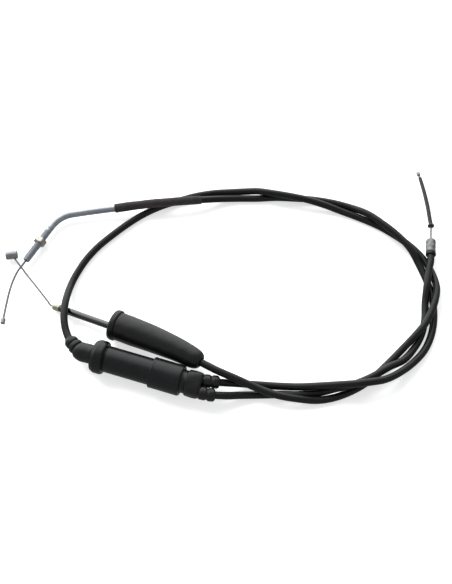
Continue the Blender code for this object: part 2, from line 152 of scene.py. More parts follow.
# ---- routes of the three cables -----------------------------------------------------------------------------------
grip = Route([
    J(-4.9), J(-9), J(-13), (-100.9, -46.8, 10.5), (-104.8, -41.8, 9.9), (-107.4, -36, 9.7), (-109.2, -29, 10.2),
    (-109.9, -21, 10.4), (-109.8, -13, 9.4), (-109.3, -4, 6.2), (-108.2, 4, 3.4), (-105.9, 11.6, 2.5),
    (-100.3, 23.5, 2.5), (-92.6, 34.8, 2.5), (-82.9, 45.1, 2.5), (-72.2, 55.0, 2.5), (-61.2, 63.6, 2.5),
    (-49.2, 70.6, 2.5), (-36, 75.9, 2.5), (-23, 80.4, 2.5), (-9, 83.2, 2.5), (4, 84.1, 2.6), (15, 83.8, 3.9),
    (24, 82.3, 6.2), (34, 79.4, 7.9), (46, 76.8, 8.1), (58, 74.2, 7.5), (71.3, 70.9, 5.4), (84.5, 66.6, 3.0),
    (97.6, 60.9, 2.5), (110.8, 53.8, 2.5), (121.9, 45.7, 2.5), (132, 36.6, 2.5), (140.4, 25.4, 2.5),
    (145.4, 12.2, 3.0), (146.1, -1, 6.2), (142.5, -14.2, 8.1), (136.0, -27.6, 8.2), (127.4, -38.0, 7.3),
    (117.4, -47.5, 3.4), (107.6, -57.2, 2.5), (97.5, -66.7, 2.5), (86.4, -74.5, 2.5), (73.1, -80.5, 2.5),
    (60, -83.3, 3.1), (46, -83.4, 6.0), (32, -81.4, 7.8), (19, -76.9, 9.3), (7, -72.4, 12.3), (-4, -67.8, 13.6),
    (-10.5, -64.4, 13.7), (-16.4, -61.0, 13.6), (-21.7, -57.7, 13.5), (-29.7, -52.9, 13.2), (-40.4, -47.4, 12.6),
    (-48, -44.3, 12.1), (-54, -42.3, 11.9),
])
pump = Route([
    J(54, -OUTLET), J(60, -OUTLET), J(66, -OUTLET), J(70.5, -OUTLET), (-8.5, -73.6, 10.7), (-2, -73.4, 9.0),
    (5, -72.7, 6.4), (13, -72.2, 4.0), (23, -72.3, 2.7), (35, -73.2, 2.8), (47, -74.5, 4.7), (60, -75.7, 8.6),
    (72, -76.2, 11.5), (84, -76.1, 13.2), (94.3, -74.5, 12.6), (104, -71.7, 10.4), (113.7, -65.9, 7.6),
    (124.2, -57.3, 4.7), (133.4, -46.9, 3.0), (139.5, -34.6, 2.5), (142.6, -21.2, 2.5), (143.1, -7, 2.5),
    (140.9, 7.1, 2.5), (136.5, 20.3, 3.7), (130.7, 31.9, 7.0), (122, 42.9, 8.1), (111.9, 53.2, 8.0),
    (102.2, 62.1, 6.8), (91.1, 69.7, 3.4), (78.5, 74.5, 2.5), (64.4, 77.3, 2.5), (50.3, 78.5, 2.5),
    (37.2, 79.1, 2.5), (23, 78.4, 2.5), (9, 78.3, 2.6), (-4, 76.8, 4.2), (-17, 73.8, 7.3), (-30, 71.7, 8.9),
    (-42, 70.3, 9.2), (-55, 69.1, 9.0), (-69, 67.7, 8.1), (-81, 66.2, 7.2), (-95, 64.5, 6.5), (-109.2, 62.4, 5.9),
    (-115.7, 61.0, 5.6), (-121.0, 57.8, 5.4), (-124.7, 53.7, 5.2), ADJ_JOINT,
])
carb_in = (V(CARB_B) - V(CARB_A)).normalized()
carb = Route([
    J(54, OUTLET), J(60, OUTLET), J(66, OUTLET), J(70.5, OUTLET), (-11, -82.6, 10.6), (-4.5, -82.6, 9.2),
    (2, -81.8, 7.0), (9, -80.6, 4.9), (18, -79.6, 3.0), (27, -79.2, 2.5), (37, -79, 2.5), (47, -79.2, 2.5),
    (60, -78.1, 3.2), (72, -76.2, 5.9), (84, -73.9, 7.8), (96, -68.7, 8.1), (107.2, -61.7, 7.5), (118.3, -55.1, 5.0),
    (126.6, -45.3, 2.5), (132.6, -35, 2.5), (136.2, -23, 2.5), (137.5, -11, 4.0), (139.4, 1, 7.8),
    (141.8, 12.5, 8.2), V(CARB_A) - carb_in * 5, V(CARB_A), V(CARB_A) + carb_in * 5,
])


# ---- camera -------------------------------------------------------------------------------------------------------
def add_camera():
    data = bpy.data.cameras.new("camera")
    data.sensor_width = 36
    data.lens = 36 * 928.57 / 584
    data.clip_start, data.clip_end = 0.02, 20
    cam = bpy.data.objects.new("camera", data)
    bpy.context.scene.collection.objects.link(cam)
    cam.location = (0.00332, -0.00806 - 0.325, 0.65 * math.sin(math.radians(60)))
    cam.rotation_euler = (math.radians(30), 0, 0)
    bpy.context.scene.camera = cam


# ---- materials ----------------------------------------------------------------------------------------------------
class Nodes:
    """A small helper to build a material's node tree."""

    def __init__(self, name):
        self.m = bpy.data.materials.new(name)
        self.m.use_nodes = True
        self.t = self.m.node_tree
        self.bsdf = self.t.nodes["Principled BSDF"]
        self.coord = None

    def add(self, kind, **values):
        n = self.t.nodes.new(kind)
        for k, v in values.items():
            setattr(n, k, v)
        return n

    def link(self, a, b):
        self.t.links.new(a, b)

    def where(self):
        if self.coord is None:
            self.coord = self.add("ShaderNodeTexCoord").outputs["Object"]
        return self.coord

    def noise(self, size_mm, detail=3.0, rough=0.55, stretch=None):
        """Noise whose features are about size_mm across."""
        n = self.add("ShaderNodeTexNoise")
        n.inputs["Scale"].default_value = 1000.0 / size_mm
        n.inputs["Detail"].default_value = detail
        n.inputs["Roughness"].default_value = rough
        at = self.where()
        if stretch:
            m = self.add("ShaderNodeMapping")
            m.inputs["Scale"].default_value = stretch
            self.link(at, m.inputs["Vector"])
            at = m.outputs["Vector"]
        self.link(at, n.inputs["Vector"])
        return n.outputs["Fac"]

    def cells(self, size_mm):
        n = self.add("ShaderNodeTexVoronoi")
        n.inputs["Scale"].default_value = 1000.0 / size_mm
        self.link(self.where(), n.inputs["Vector"])
        return n.outputs["Distance"]

    def math(self, op, a, b=None, c=None, clamp=False):
        n = self.add("ShaderNodeMath", operation=op, use_clamp=clamp)
        for i, v in enumerate((a, b, c)):
            if v is None:
                continue
            if isinstance(v, (int, float)):
                n.inputs[i].default_value = v
            else:
                self.link(v, n.inputs[i])
        return n.outputs[0]

    def ranged(self, v, lo, hi, to_lo, to_hi):
        n = self.add("ShaderNodeMapRange")
        n.inputs["From Min"].default_value = lo
        n.inputs["From Max"].default_value = hi
        n.inputs["To Min"].default_value = to_lo
        n.inputs["To Max"].default_value = to_hi
        self.link(v, n.inputs["Value"])
        return n.outputs["Result"]

    def colour(self, v, a, b):
        n = self.add("ShaderNodeMix", data_type="RGBA")
        self.link(v, n.inputs[0])
        n.inputs[6].default_value = (*a, 1)
        n.inputs[7].default_value = (*b, 1)
        return n.outputs[2]

    def bump(self, height, depth_mm, strength=1.0, before=None):
        n = self.add("ShaderNodeBump")
        n.inputs["Strength"].default_value = strength
        n.inputs["Distance"].default_value = depth_mm * MM
        self.link(height, n.inputs["Height"])
        if before is not None:
            self.link(before, n.inputs["Normal"])
        return n.outputs["Normal"]

    def along(self):
        """(distance along the piece in mm, share of the way round) from the mesh's own map."""
        uv = self.add("ShaderNodeUVMap", uv_map="along")
        s = self.add("ShaderNodeSeparateXYZ")
        self.link(uv.outputs["UV"], s.inputs["Vector"])
        return s.outputs["X"], s.outputs["Y"]

    def normal(self, out):
        self.link(out, self.bsdf.inputs["Normal"])

    def value(self, socket, v):
        self.bsdf.inputs[socket].default_value = v

    def feed(self, socket, out):
        self.link(out, self.bsdf.inputs[socket])


def winding(n, pitch, share=1.0):
    """The spiral of the steel winding, as it shows through the plastic."""
    u, v = n.along()
    turn = n.math("MULTIPLY_ADD", u, 1.0 / pitch, v)
    wave = n.math("SINE", n.math("MULTIPLY", turn, 2 * math.pi))
    return n.math("MULTIPLY_ADD", wave, 0.5 * share, 0.5)


def casing_material():
    n = Nodes("casing_plastic")
    soft, fine = n.noise(9, 2), n.noise(0.35, 3)
    n.feed("Base Color", n.colour(n.ranged(soft, 0.3, 0.7, 0, 1), (0.0045, 0.0045, 0.0048), (0.0085, 0.0085, 0.009)))
    n.feed("Roughness", n.ranged(n.noise(3, 4), 0.3, 0.7, 0.27, 0.38))
    b = n.bump(winding(n, 1.5), 0.02, 0.55)
    b = n.bump(fine, 0.006, 0.5, b)
    b = n.bump(n.noise(5, 2), 0.05, 0.35, b)
    n.normal(b)
    n.value("Specular IOR Level", 0.38)
    return n.m


def rubber_material():
    n = Nodes("rubber")
    n.feed("Base Color", n.colour(n.ranged(n.noise(6, 3), 0.3, 0.7, 0, 1), (0.0048, 0.0048, 0.0052), (0.0100, 0.0100, 0.0105)))
    n.feed("Roughness", n.ranged(n.noise(2.5, 4), 0.3, 0.7, 0.27, 0.40))
    b = n.bump(n.noise(0.45, 4, 0.6), 0.018, 0.5)
    b = n.bump(n.noise(7, 2), 0.12, 0.25, b)
    n.normal(b)
    n.value("Specular IOR Level", 0.5)
    return n.m


def plastic_material():
    n = Nodes("junction_plastic")
    n.feed("Base Color", n.colour(n.ranged(n.noise(11, 3), 0.3, 0.7, 0, 1), (0.0035, 0.0037, 0.0042), (0.0075, 0.008, 0.0088)))
    n.feed("Roughness", n.ranged(n.noise(3, 4), 0.3, 0.7, 0.24, 0.36))
    b = n.bump(n.noise(0.3, 3, 0.6), 0.010, 0.45)
    b = n.bump(n.noise(9, 2), 0.10, 0.2, b)
    n.normal(b)
    n.value("Specular IOR Level", 0.45)
    return n.m


def sleeve_material():
    n = Nodes("shrink_sleeve")
    n.feed("Base Color", n.colour(n.ranged(n.noise(4, 4), 0.3, 0.7, 0, 1), (0.026, 0.0225, 0.0215), (0.041, 0.036, 0.0345)))
    n.feed("Roughness", n.ranged(n.noise(1.5, 4), 0.3, 0.7, 0.58, 0.75))
    b = n.bump(winding(n, 1.5), 0.02, 0.5)
    b = n.bump(n.noise(1.6, 4, 0.6), 0.06, 0.4, b)
    n.normal(b)
    n.value("Specular IOR Level", 0.4)
    return n.m


def gloss_material():
    n = Nodes("gloss_black")
    n.feed("Base Color", n.colour(n.ranged(n.noise(5, 3), 0.3, 0.7, 0, 1), (0.003, 0.003, 0.0035), (0.006, 0.006, 0.0065)))
    n.feed("Roughness", n.ranged(n.noise(2, 4), 0.3, 0.7, 0.07, 0.15))
    n.value("Specular IOR Level", 1.0)
    n.normal(n.bump(n.noise(2.2, 3), 0.02, 0.3))
    n.value("Coat Weight", 1.0)
    n.value("Coat Roughness", 0.08)
    return n.m


def zinc_material(name, light, dark, rough=(0.24, 0.42), grain=0.5):
    n = Nodes(name)
    n.feed("Base Color", n.colour(n.ranged(n.noise(3.0, 4), 0.32, 0.68, 0, 1), dark, light))
    n.feed("Roughness", n.ranged(n.noise(1.3, 4), 0.3, 0.7, *rough))
    n.value("Metallic", 1.0)
    b = n.bump(n.noise(0.25, 4, 0.65), 0.008, grain)
    b = n.bump(n.noise(2.5, 2), 0.04, 0.25, b)
    n.normal(b)
    return n.m


def wire_material():
    n = Nodes("wire_steel")
    n.feed("Base Color", n.colour(n.ranged(n.noise(0.8, 3), 0.3, 0.7, 0, 1), (0.30, 0.30, 0.295), (0.46, 0.46, 0.45)))
    n.feed("Roughness", n.ranged(n.noise(0.6, 3), 0.3, 0.7, 0.28, 0.45))
    n.value("Metallic", 1.0)
    n.normal(n.bump(n.noise(0.15, 2), 0.004, 0.4))
    return n.m


def nylon_material():
    n = Nodes("nylon")
    n.feed("Base Color", n.colour(n.ranged(n.noise(4, 3), 0.3, 0.7, 0, 1), (0.66, 0.65, 0.60), (0.74, 0.73, 0.69)))
    n.feed("Roughness", n.ranged(n.noise(1.5, 3), 0.3, 0.7, 0.4, 0.5))
    n.value("Subsurface Weight", 0.1)
    n.value("Subsurface Radius", (0.001, 0.001, 0.0008))
    n.normal(n.bump(n.noise(0.4, 3), 0.01, 0.4))
    return n.m


CASING, RUBBER, PLASTIC = casing_material(), rubber_material(), plastic_material()
SLEEVE, GLOSS = sleeve_material(), gloss_material()
ZINC = zinc_material("zinc", (0.60, 0.635, 0.67), (0.48, 0.515, 0.55), (0.34, 0.48))
NUTZINC = zinc_material("nut_zinc", (0.70, 0.67, 0.61), (0.58, 0.55, 0.49), (0.26, 0.42))
BRASS = zinc_material("brass", (0.70, 0.66, 0.54), (0.57, 0.53, 0.43), (0.24, 0.38))
NIPPLE = zinc_material("nipple_zinc", (0.50, 0.51, 0.52), (0.38, 0.39, 0.40), (0.38, 0.55), 0.8)
CRIMP = zinc_material("crimped_zinc", (0.38, 0.38, 0.375), (0.22, 0.22, 0.22), (0.45, 0.62), 0.9)
WIRE, NYLON = wire_material(), nylon_material()

BODY = {n: b for b, ns in frame["record"]["behaviour"]["bodies"].items() for n in ns}


# ---- shapes -------------------------------------------------------------------------------------------------------
def rounded(points, seg=4):
    """Corners marked with a third value, the fillet in mm, become small arcs."""
    out = []
    n = len(points)
    for i, q in enumerate(points):
        f = q[2] if len(q) > 2 else 0
        if f <= 0 or i in (0, n - 1):
            out.append((q[0], q[1]))
            continue
        p = Vector((q[0], q[1]))
        a, b = Vector(points[i - 1][:2]), Vector(points[i + 1][:2])
        da, db = (a - p), (b - p)
        fa, fb = min(f, da.length * 0.49), min(f, db.length * 0.49)
        pa, pb = p + da.normalized() * fa, p + db.normalized() * fb
        for k in range(seg + 1):
            t = k / seg
            c = pa * (1 - t) ** 2 + p * 2 * t * (1 - t) + pb * t * t
            out.append((c.x, c.y))
    return out


def dense(points, step):
    """More points where two neighbours are further apart than step."""
    out = [points[0]]
    for a, b in zip(points, points[1:]):
        n = max(1, int(math.ceil(abs(b[0] - a[0]) / step)))
        for k in range(1, n + 1):
            out.append((a[0] + (b[0] - a[0]) * k / n, a[1] + (b[1] - a[1]) * k / n))
    return out


def frames(route, stations):
    out = []
    for s in stations:
        z = route.tangent(s)
        x = z.cross(Vector((0, 0, 1)))
        if x.length < 1e-3:
            x = Vector((1, 0, 0))
        x.normalize()
        y = z.cross(x)
        p = route.at(s)
        out.append(Matrix(((x.x, y.x, z.x, p.x), (x.y, y.y, z.y, p.y), (x.z, y.z, z.z, p.z), (0, 0, 0, 1))))
    return out


def swept_mesh(bm, route, profile, sides=48, step=None, shape=None, twist=None, uv=None):
    """A turned shape along a route, added to bm. shape(s, angle, r) gives the radius, twist(s) turns the section."""
    if step and profile[0][1] > 1e-6 and profile[-1][1] > 1e-6:
        profile = dense(list(profile) + [profile[0]], step)[:-1]
    elif step:
        profile = dense(profile, step)
    rings = []
    for m, (s, r) in zip(frames(route, [q[0] for q in profile]), profile):
        if r <= 1e-6:
            rings.append((s, [bm.verts.new(world(m @ Vector((0, 0, 0))))]))
            continue
        ring = []
        t = twist(s) if twist else 0.0
        for k in range(sides):
            a = 2 * math.pi * k / sides
            rr = shape(s, a, r) if shape else r
            ring.append(bm.verts.new(world(m @ Vector((rr * math.cos(a + t), rr * math.sin(a + t), 0)))))
        rings.append((s, ring))
    closed = len(rings[0][1]) > 1 and len(rings[-1][1]) > 1
    pairs = list(zip(rings, rings[1:]))
    if closed:
        pairs.append((rings[-1], rings[0]))
    for (sa, a), (sb, b) in pairs:
        if len(a) == 1 and len(b) == 1:
            continue
        for k in range(sides):
            k2 = (k + 1) % sides
            va, vb = k / sides, (k + 1) / sides
            if len(a) == 1:
                f = bm.faces.new((a[0], b[k], b[k2]))
                where = ((sa, va), (sb, va), (sb, vb))
            elif len(b) == 1:
                f = bm.faces.new((a[k], b[0], a[k2]))
                where = ((sa, va), (sb, va), (sa, vb))
            else:
                f = bm.faces.new((a[k], b[k], b[k2], a[k2]))
                where = ((sa, va), (sb, va), (sb, vb), (sa, vb))
            if uv:
                for loop, q in zip(f.loops, where):
                    loop[uv].uv = q
    return rings


def finish_mesh(name, bm, mat, nodes, smooth=38):
    bmesh.ops.recalc_face_normals(bm, faces=bm.faces)
    me = bpy.data.meshes.new(name)
    bm.to_mesh(me)
    bm.free()
    me.shade_smooth()
    me.set_sharp_from_angle(angle=math.radians(smooth))
    ob = bpy.data.objects.new(name, me)
    bpy.context.scene.collection.objects.link(ob)
    me.materials.append(mat)
    return settle(ob, nodes)


def settle(ob, nodes):
    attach(ob, BODY[nodes[0]])
    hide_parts(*nodes)
    return ob


def swept(name, route, profile, mat, nodes, sides=48, step=None, shape=None, twist=None, smooth=38):
    bm = bmesh.new()
    uv = bm.loops.layers.uv.new("along")
    swept_mesh(bm, route, profile, sides, step, shape, twist, uv)
    return finish_mesh(name, bm, mat, nodes, smooth)


def wave(x, seed):
    """A gentle aperiodic wobble from -1 to 1, the same at every run."""
    return (math.sin(x * 1.0 + seed * 1.7) + math.sin(x * 2.3 + seed * 3.1) * 0.6 + math.sin(x * 4.1 + seed * 0.9) * 0.35) / 1.95


# ---- cables -------------------------------------------------------------------------------------------------------
def cable(name, node, route, s0, s1, exit_s):
    """A casing as one smooth tube."""
    prof = [(s0, 0), (s0, CASING_R - 0.25), (s0 + 0.1, CASING_R - 0.07), (s0 + 0.3, CASING_R)]
    n = int(math.ceil((s1 - s0 - 0.6) / 1.1))
    prof += [(s0 + 0.3 + (s1 - s0 - 0.6) * k / n, CASING_R) for k in range(1, n)]
    prof += [(s1 - 0.3, CASING_R), (s1 - 0.1, CASING_R - 0.07), (s1, CASING_R - 0.25), (s1, 0)]
    ob = swept(name, route, prof, CASING, [node], sides=28)
    m = int(math.ceil((s1 - s0) / 2.0))
    path = [tuple(world(route.at(s0 + (s1 - s0) * k / m))) for k in range(m + 1)]
    tuple(world(route.at(exit_s)))
    return ob


def cables():
    g0 = grip.near(J(-13)) + 1.4
    cable("grip_cable", "grip_casing", grip, g0, grip.length, 22.0)
    pump_pipe = pump.near((-69, 67.7, 8.1))
    cable("pump_cable", "pump_casing", pump, 16.9, pump_pipe - 0.4, 26.6)
    cable("carb_cable", "carb_casing", carb, 16.9, carb.near(CARB_A) + 2.0, 26.6)


# ---- splitter -----------------------------------------------------------------------------------------------------
def splitter():
    axis = line(J(0), J(100))
    swept("splitter_barrel", axis, rounded([
        (-4.6, 3.0), (-4.6, 8.9, 0.8), (-3.9, 10.25, 1.0), (-2.7, 10.45, 0.25), (-2.45, COLLAR_R - 0.35, 0.2),
        (-1.7, COLLAR_R, 0.5), (2.9, COLLAR_R, 0.9), (3.9, 10.5, 0.4), (3.9, 8.45, 0.15), (4.9, 8.45, 0.2),
        (5.2, TUBE_R, 0.25), (50.0, TUBE_R, 0.3), (50.0, 7.0, 0.2), (-1.6, 7.0, 0.2), (-1.6, 3.0, 0.1), (-4.6, 3.0),
    ], 6)[:-1], PLASTIC, ["junction_body"], sides=128, step=4)
    swept("splitter_cap", axis, rounded([
        (36.4, 9.25), (36.4, 9.98, 0.12), (36.7, CAP_R - 0.02, 0.25), (37.6, CAP_R - 0.02, 0.2), (38.0, CAP_R - 0.12, 0.2),
        (56.4, CAP_R - 0.08, 0.8), (57.3, 9.75, 0.4), (57.3, 8.3, 0.15), (54.0, 8.3, 0.1), (54.0, 9.25, 0.1), (36.4, 9.25),
    ], 5)[:-1], PLASTIC, ["junction_cap"], sides=128, step=4)
    swept("input_boot_ribbed", grip, rounded([
        (0.1, 2.85), (0.1, 6.2, 0.3), (0.8, 6.45, 0.4), (4.0, 6.45, 1.0), (8.0, 6.4, 2.0), (10.6, 6.05, 1.2), (11.5, 4.7, 0.6),
        (12.1, 4.15, 0.4), (12.6, 5.0, 0.45), (13.3, 5.2, 0.5), (15.1, 5.15, 0.5), (15.7, 4.6, 0.4), (16.3, 3.85, 0.4),
        (17.0, 4.6, 0.45), (17.6, 4.75, 0.5), (19.4, 4.7, 0.5), (20.2, 4.2, 0.5), (20.8, 3.45, 0.4), (22.0, 3.15, 0.25),
        (22.0, 2.9, 0.05), (18.0, 2.95), (15.0, 3.0), (12.5, 3.0), (9.0, 2.9), (0.1, 2.85),
    ], 5)[:-1], RUBBER, ["input_boot"], sides=80, step=1.2,
        shape=lambda s, a, r: r + (0.045 * wave(a * 2 + s * 0.7, 3) if r > 3.3 else 0))
    twin_boot()


def twin_boot():
    """The moulded rubber end with two ribbed outlets: closed solids melted into one skin."""
    bm = bmesh.new()
    stations = rounded([
        (51.5, 7.9), (57.7, 7.9, 0.2), (58.0, 7.7, 0.2), (60.4, 7.7, 0.3), (60.8, 8.6, 0.3), (62.6, 8.75, 1.0), (66.0, 8.85, 1.5), (69.3, 8.7, 0.9), (70.2, 7.9, 0.6),
        (70.4, 6.8),
    ], 6)
    heights = [(51.5, 7.9), (57.7, 7.9), (58.0, 7.7), (60.4, 7.6), (60.8, 8.3), (62.0, 8.05), (64.5, 7.4), (67.5, 6.3), (69.4, 5.5), (70.4, 4.4)]

    def height(s):
        for (sa, ha), (sb, hb) in zip(heights, heights[1:]):
            if s <= sb:
                return ha + (hb - ha) * max(0.0, (s - sa) / (sb - sa))
        return heights[-1][1]

    sides = 96
    rings = []
    for s, w in dense(stations, 0.7):
        flat = min(1.0, max(0.0, (s - 59.5) / 8.0))
        power = 2.0 + 0.9 * flat
        ring = []
        for k in range(sides):
            a = 2 * math.pi * k / sides
            c, d = math.cos(a), math.sin(a)
            x = math.copysign(abs(c) ** (2 / power), c) * w
            y = math.copysign(abs(d) ** (2 / power), d) * height(s)
            ring.append(bm.verts.new(world(J(s, x, y))))
        rings.append(ring)
    for a, b in zip(rings, rings[1:]):
        for k in range(sides):
            k2 = (k + 1) % sides
            bm.faces.new((a[k], b[k], b[k2], a[k2]))
    bm.faces.new(list(reversed(rings[0])))
    bm.faces.new(rings[-1])
    for way in (pump, carb):
        swept_mesh(bm, way, rounded([
            (12.6, 0), (12.6, 3.75), (16.5, 3.75, 0.5), (17.0, 4.45, 0.4), (20.6, 4.4, 0.4), (21.2, 3.7, 0.4), (21.9, 3.65, 0.4),
            (22.5, 4.4, 0.4), (25.6, 4.35, 0.5), (26.6, 3.6, 0.3), (26.6, 0),
        ], 5), sides=56, step=0.6)
    bmesh.ops.recalc_face_normals(bm, faces=bm.faces)
    me = bpy.data.meshes.new("twin_boot")
    bm.to_mesh(me)
    bm.free()
    ob = bpy.data.objects.new("twin_boot", me)
    bpy.context.scene.collection.objects.link(ob)
    ob["keep"] = 1
    remesh = ob.modifiers.new("skin", "REMESH")
    remesh.mode = "VOXEL"
    remesh.voxel_size = 0.00024
    smooth = ob.modifiers.new("melt", "SMOOTH")
    smooth.factor = 0.5
    smooth.iterations = 7
    cutters = []
    for way in (pump, carb):
        cb = bmesh.new()
        swept_mesh(cb, way, [(-4, 0), (-4, 2.75), (14, 2.75), (16, 2.62), (28, 2.62), (28, 0)], sides=40, step=1.0)
        bmesh.ops.recalc_face_normals(cb, faces=cb.faces)
        cm = bpy.data.meshes.new("cut")
        cb.to_mesh(cm)
        cb.free()
        co = bpy.data.objects.new("cut", cm)
        bpy.context.scene.collection.objects.link(co)
        cutters.append(co)
        mod = ob.modifiers.new("bore", "BOOLEAN")
        mod.operation = "DIFFERENCE"
        mod.solver = "EXACT"
        mod.object = co
    bpy.context.view_layer.update()
    dg = bpy.context.evaluated_depsgraph_get()
    done = bpy.data.meshes.new_from_object(ob.evaluated_get(dg))
    ob.modifiers.clear()
    ob.data = done
    for co in cutters:
        bpy.data.objects.remove(co, do_unlink=True)
    done.materials.clear()
    done.materials.append(RUBBER)
    done.shade_smooth()
    done.set_sharp_from_angle(angle=math.radians(50))
    settle(ob, ["output_boot"])


# ---- grip end -----------------------------------------------------------------------------------------------------
def strand(s, a, r):
    """The section of a wire laid from six strands round a core."""
    third = r / 3
    b = (a + math.pi / 6) % (math.pi / 3) - math.pi / 6
    return 2 * third * math.cos(b) + math.sqrt(max(0.0, third * third - (2 * third * math.sin(b)) ** 2)) * 0.98


def stranded(name, route, s0, s1, r, nodes, step=0.4, lay=None):
    n = max(2, int(math.ceil((s1 - s0) / step)))
    prof = [(s0, 0), (s0, r * 0.9), (s0 + 0.08, r)]
    prof += [(s0 + 0.08 + (s1 - s0 - 0.16) * k / n, r) for k in range(1, n)]
    prof += [(s1 - 0.08, r), (s1, r * 0.9), (s1, 0)]
    pitch = lay or 9.0 * r
    return swept(name, route, prof, WIRE, nodes, sides=36, shape=strand, twist=lambda s: 2 * math.pi * s / pitch, smooth=70)


def grip_end():
    m, q = V(BOOT_MOUTH), V(BOOT_BEND)
    cone = Route([m, m.lerp(q, 1 / 3), m.lerp(q, 2 / 3), q, (-40.4, -47.15, 12.6), (-29.7, -52.8, 13.2),
                  (-21.7, -57.6, 13.5), BOOT_TIP])
    n = cone.length
    swept("conical_boot_rubber", cone, rounded([
        (0, 7.2), (0, 9.1, 0.4), (0.6, 10.15, 0.9), (1.9, 10.6, 1.0), (3.8, 10.6, 0.6), (4.4, 10.15, 0.35), (4.55, 9.45, 0.2),
        (5.3, 9.62, 0.4), (15.4, 9.62, 4), (27.4, 9.15, 5), (42.4, 8.34, 5), (52.4, 7.62, 4), (n - 5.5, 6.95, 2), (n - 2.6, 6.25, 1.6),
        (n - 0.8, 5.2, 1.2), (n, 4.0, 0.5), (n, 3.45, 0.15), (55.4, 4.0, 2), (46.4, 4.8, 2), (35.4, 5.6, 2), (21.4, 6.3, 2),
        (3.2, 6.6, 0.4), (3.0, 7.2, 0.3), (0, 7.2),
    ], 6)[:-1], RUBBER, ["conical_boot"], sides=128, step=1.0,
        shape=lambda s, a, r: r + ((0.05 * wave(a * 1.0 + s * 0.13, 5) + 0.03 * wave(a * 3.0 + s * 0.31, 8)) if r > 4 and s > 5.4 else 0))
    guide = line(GUIDE_NEAR, GUIDE_FAR)
    swept("guide_tube_lacquered", guide, rounded([
        (0, 1.3), (0, GUIDE_R, 0.3), (guide.length - 0.3, GUIDE_R, 0.3), (guide.length - 0.3, 1.3, 0.1), (0, 1.3),
    ], 5)[:-1], GLOSS, ["guide_tube"], sides=48, step=3)
    g = (V(GUIDE_FAR) - V(GUIDE_NEAR)).normalized()
    L = guide.length
    swept("grip_ferrule_brass", guide, rounded([
        (L, 1.3), (L, 2.3, 0.2), (L + 0.4, 2.5, 0.3), (L + 1.3, 2.5, 0.1), (L + 1.5, 2.36, 0.1), (L + 1.8, 2.36, 0.1),
        (L + 2.0, 2.48, 0.1), (L + 4.4, 2.48, 0.4), (L + 5.2, 2.1, 0.3), (L + 5.2, 1.3, 0.25), (L, 1.3),
    ], 5)[:-1], BRASS, ["grip_ferrule"], sides=64, step=1)
    mouth = V(GUIDE_FAR) + g * 5.2
    wire = Route([
        V(GUIDE_FAR) - g * 24, V(GUIDE_FAR) - g * 12, V(GUIDE_FAR), mouth, mouth + g * 2.7, (-123.4, -9.1, 3.2),
        (-128.4, -2.6, 3.0), (-134.2, 5.0, 2.7), (-139.8, 12, 2.6), (-145.0, 18.8, 2.9), (-148.6, 23.3, 3.7), (-150.6, 25.8, 4.3),
    ])
    stranded("grip_wire_stranded", wire, 0, wire.length - 0.6, GRIP_WIRE_R, ["grip_wire"])
    a = math.radians(DRUM_YAW)
    d = Vector((math.cos(a), math.sin(a), 0))
    drum = line(V(DRUM_AT) - d * (DRUM_L / 2), V(DRUM_AT) + d * (DRUM_L / 2))
    swept("drum_nipple_cast", drum, rounded([
        (0.12, 0), (0.12, 1.9, 0.2), (0, 2.2, 0.15), (0, 2.6, 0.3), (0.4, DRUM_R, 0.35), (DRUM_L - 0.4, DRUM_R, 0.35), (DRUM_L, 2.6, 0.3),
        (DRUM_L, 2.2, 0.15), (DRUM_L - 0.12, 1.9, 0.2), (DRUM_L - 0.12, 0),
    ], 5), NIPPLE, ["drum_nipple"], sides=72, step=0.8,
        shape=lambda s, b, r: r - (0.05 * max(0.0, 1 - abs(s - DRUM_L / 2) / 0.25) if r > 2.8 else 0))


